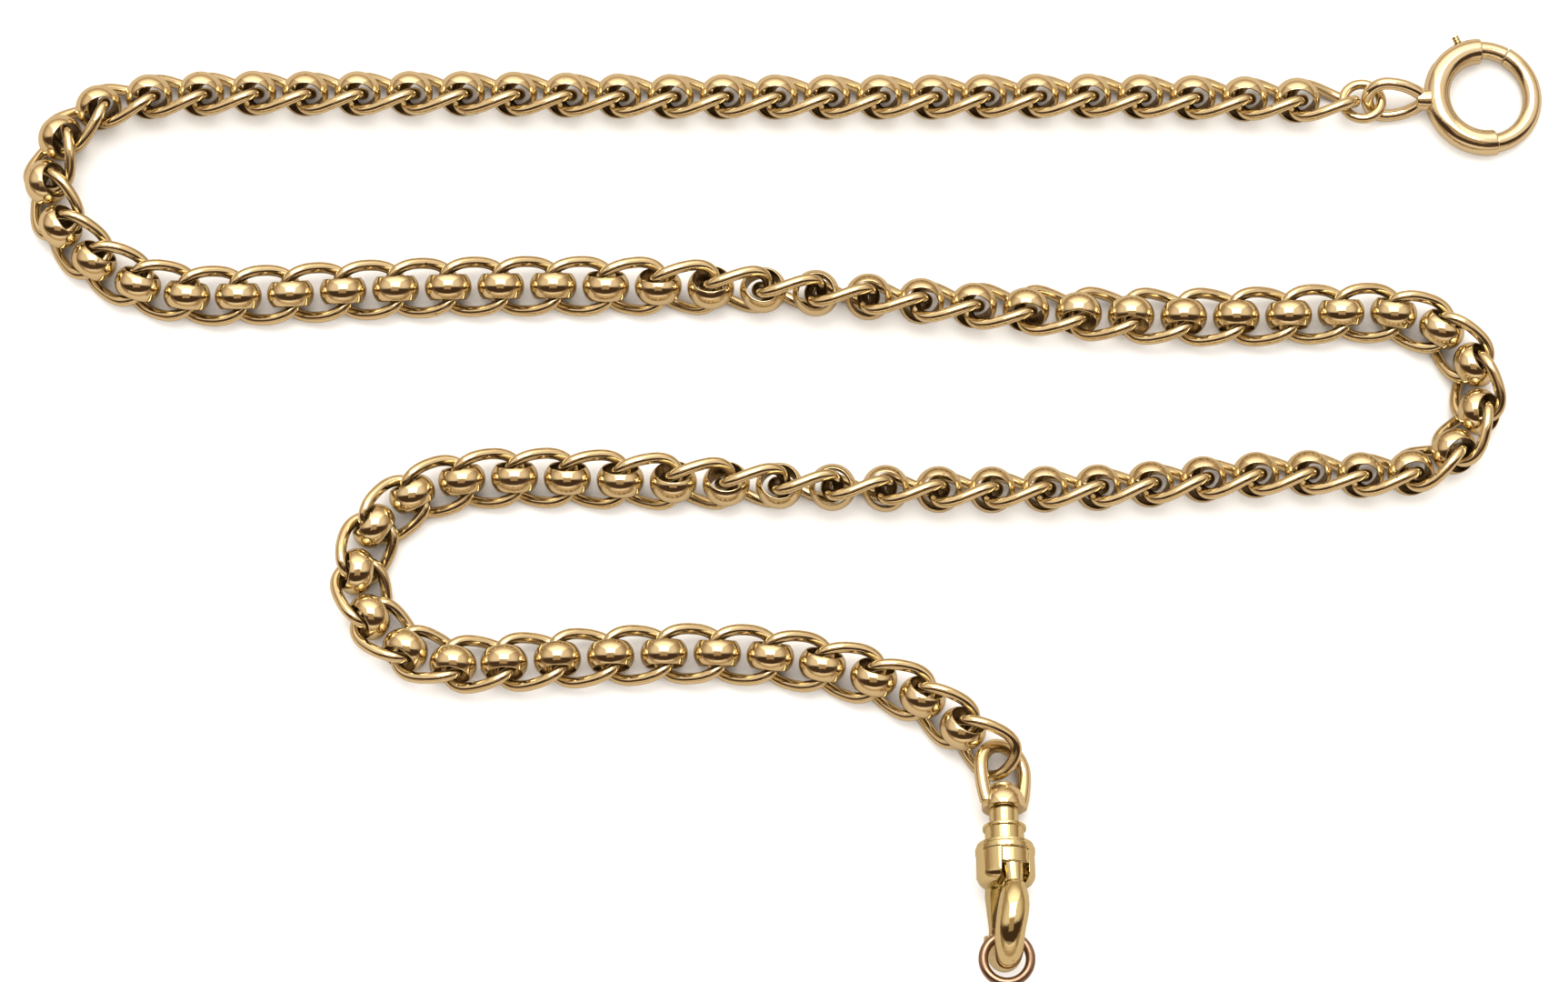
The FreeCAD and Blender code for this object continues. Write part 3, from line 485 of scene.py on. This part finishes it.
# Node, body, material, size of the even mesh in millimetres, rounds of softening.
ENDS = (
    ("bolt_ring_barrel", "bolt_ring", pale_gold, 0.065, 3),
    ("bolt_ring_arm", "bolt_ring", pale_gold, 0.055, 3),
    ("bolt_ring_eye", "bolt_ring", pale_gold, 0.06, 5),
    ("bolt_ring_bolt", "bolt", pale_gold, 0.05, 2),
    ("bolt_ring_thumb_piece", "bolt", yellow_gold, 0.03, 3),
    ("jump_ring", "jump_ring", gold, 0.06, 4),
    ("swivel_stirrup", "stirrup", gold, 0.06, 5),
    ("swivel_rivet", "swivel", yellow_gold, 0.05, 3),
    ("swivel_body", "swivel", yellow_gold, 0.06, 3),
    ("swivel_hook", "swivel", yellow_gold, 0.07, 6),
    ("swivel_lever", "lever", yellow_gold, 0.05, 3),
    ("swivel_lever_pin", "swivel", yellow_gold, 0.04, 3),
    ("fob_ring", "fob_ring", rose_gold, 0.06, 3),
)
for node, body, material, voxel, rounds in ENDS:
    piece = refined(node, body, voxel, rounds, rng.uniform(0.2, 0.8))
    piece.data.materials.append(material)
for node in ("bolt_ring_spring", "swivel_leaf_spring"):
    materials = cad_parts[node].data.materials
    materials.clear()
    materials.append(steel)


# ---------------------------------------------------------------- floor, light and camera

# Half the floor's side, in metres.
FLOOR_REACH = 3.0
# How near a neighbour has to be for the floor to darken beside it, in metres.
SHADOW_REACH = 0.006
PAPER = ((0.93, 0.93, 0.93, 1), (0.96, 0.96, 0.96, 1))
PAPER_IN_SHADOW = (0.13, 0.08, 0.05, 1)
PAPER_GLOW = (1.0, 0.96, 0.92, 1)
PAPER_IN_METAL = (0.50, 0.43, 0.35, 1)

LAMP_SIZE = (0.74, 0.52)
LAMP_PLACE = (0.0, 0.24, 0.95)
# The light that the paper gets from all round.
PAPER_LIGHT = (1.05, 1.02, 0.99, 1)
# What the metal mirrors instead: the tent low and high, its side walls and seams, the dark
# gap where the camera stands and the brown card in the gap.
TENT_LOW = (0.44, 0.32, 0.21, 1)
TENT_HIGH = (1.20, 1.08, 0.92, 1)
SIDE_WALL = (0.26, 0.17, 0.10, 1)
SEAM = (0.16, 0.10, 0.06, 1)
DARK_GAP = (0.08, 0.046, 0.025, 1)
CARD = (0.42, 0.31, 0.20, 1)
# How far from straight up, towards the camera, the gap's middle is, and how its width
# counts against its height.
GAP_LEAN = math.radians(38.0)
GAP_WIDTH = 0.38

# The photograph's middle on the surface, as seen from the part's origin.
VIEW_CENTRE = Vector((-0.05, 2.05, 0)) * MM
CAMERA_TILT = math.radians(15.0)
CAMERA_DISTANCE = 0.700
# How much of the surface the picture spans at that distance, in metres.
PICTURE_WIDTH = 0.17992
SENSOR_WIDTH = 36


def floor():
    """The white paper, which looks darker and warmer in the metal than to the camera."""
    mesh = bpy.data.meshes.new("floor")
    signs = ((-1, -1), (1, -1), (1, 1), (-1, 1))
    corners = [(x * FLOOR_REACH, y * FLOOR_REACH, 0) for x, y in signs]
    mesh.from_pydata(corners, [], [(0, 1, 2, 3)])
    table = bpy.data.objects.new("floor", mesh)
    bpy.context.scene.collection.objects.link(table)
    table.location.z = cad_box[0].z
    n = Nodes(bpy.data.materials.new("floor"))
    white = n.mix(n.noise(n.add("TexCoord").outputs["Object"], PAPER_GRAIN), *PAPER)
    open_sky = n.add("AmbientOcclusion", samples=8)
    n.settings(open_sky, Distance=SHADOW_REACH)
    shade = n.ramp(open_sky.outputs["AO"], 0.02, 0.36)
    n.join(n.mix(shade, PAPER_IN_SHADOW, white), n.shader.inputs["Base Color"])
    n.settings(
        n.shader,
        Roughness=0.85,
        Specular_IOR_Level=0.1,
        Emission_Color=PAPER_GLOW,
        Emission_Strength=0.03,
    )
    dim = n.add("BsdfDiffuse")
    n.settings(dim, Color=PAPER_IN_METAL)
    both = n.add("MixShader")
    n.join(n.add("LightPath").outputs["Is Camera Ray"], both.inputs[0])
    n.join(dim.outputs[0], both.inputs[1])
    n.join(n.shader.outputs[0], both.inputs[2])
    n.join(both.outputs[0], n.tree.nodes["Material Output"].inputs["Surface"])
    mesh.materials.append(n.owner)


def softbox(name, power, colour, seen_in_metal):
    """A rectangular lamp overhead, either mirrored in the metal or lighting only the floor."""
    light = bpy.data.lights.new(name, "AREA")
    light.shape = "RECTANGLE"
    light.size, light.size_y = LAMP_SIZE
    light.energy = power
    light.color = colour
    lamp = bpy.data.objects.new(name, light)
    lamp.location = LAMP_PLACE
    lamp.rotation_euler = Vector(lamp.location).to_track_quat("Z", "Y").to_euler()
    lamp.visible_glossy = seen_in_metal
    lamp.visible_diffuse = not seen_in_metal
    bpy.context.scene.collection.objects.link(lamp)


def studio():
    """A softbox overhead in a warm light tent, with a dark gap in it where the camera stands."""
    world = bpy.data.worlds.new("studio")
    bpy.context.scene.world = world
    n = Nodes(world)
    split = n.add("SeparateXYZ")
    n.join(n.add("TexCoord").outputs["Generated"], split.inputs[0])
    x, y, z = split.outputs
    sideways = n.math("ABSOLUTE", x)
    past_seam = n.math("SUBTRACT", sideways, n.math("ABSOLUTE", y))

    tent = n.mix(n.ramp(z, 0.05, 0.75), TENT_LOW, TENT_HIGH)
    tent = n.mix(n.ramp(past_seam, -0.02, 0.02, 0.0, 0.50), tent, SIDE_WALL)
    seam = n.ramp(n.math("ABSOLUTE", past_seam), 0.0, 0.05, 0.45, 0.0)
    tent = n.mix(n.times(seam, n.ramp(z, 0.55, 0.95, 1.0, 0.0)), tent, SEAM)

    off_axis = n.plus(n.times(y, math.cos(GAP_LEAN)), n.times(z, math.sin(GAP_LEAN)))
    across = n.times(x, GAP_WIDTH)
    away = n.math("SQRT", n.plus(n.times(off_axis, off_axis), n.times(across, across)))
    tent = n.mix(n.ramp(away, 0.34, 0.44), DARK_GAP, tent)

    card = n.times(n.ramp(sideways, 0.29, 0.32, 1.0, 0.0), n.ramp(y, -0.52, -0.49))
    card = n.times(card, n.ramp(y, -0.04, 0.0, 1.0, 0.0))
    card = n.times(card, n.ramp(z, 0.0, 0.1))
    tent = n.mix(card, tent, CARD)

    in_metal = n.add("LightPath").outputs["Is Glossy Ray"]
    n.join(n.mix(in_metal, PAPER_LIGHT, tent), n.tree.nodes["Background"].inputs["Color"])
    softbox("softbox", 2.5, (1.0, 0.98, 0.92), True)
    softbox("fill", 3.0, (1.0, 0.97, 0.93), False)


def camera():
    """The photograph's camera, looking down at the middle of the picture."""
    data = bpy.data.cameras.new("camera")
    eye = bpy.data.objects.new("camera", data)
    back = Vector((0, -math.sin(CAMERA_TILT), math.cos(CAMERA_TILT)))
    eye.location = VIEW_CENTRE + back * CAMERA_DISTANCE
    eye.rotation_euler = (CAMERA_TILT, 0, 0)
    data.sensor_width = SENSOR_WIDTH
    data.lens = SENSOR_WIDTH * CAMERA_DISTANCE / PICTURE_WIDTH
    data.clip_start = 0.01
    data.dof.use_dof = False
    bpy.context.scene.collection.objects.link(eye)
    bpy.context.scene.camera = eye


floor()
studio()
camera()
film = bpy.context.scene.view_settings
film.view_transform = "Standard"
film.exposure = 0.38
film.gamma = 0.80
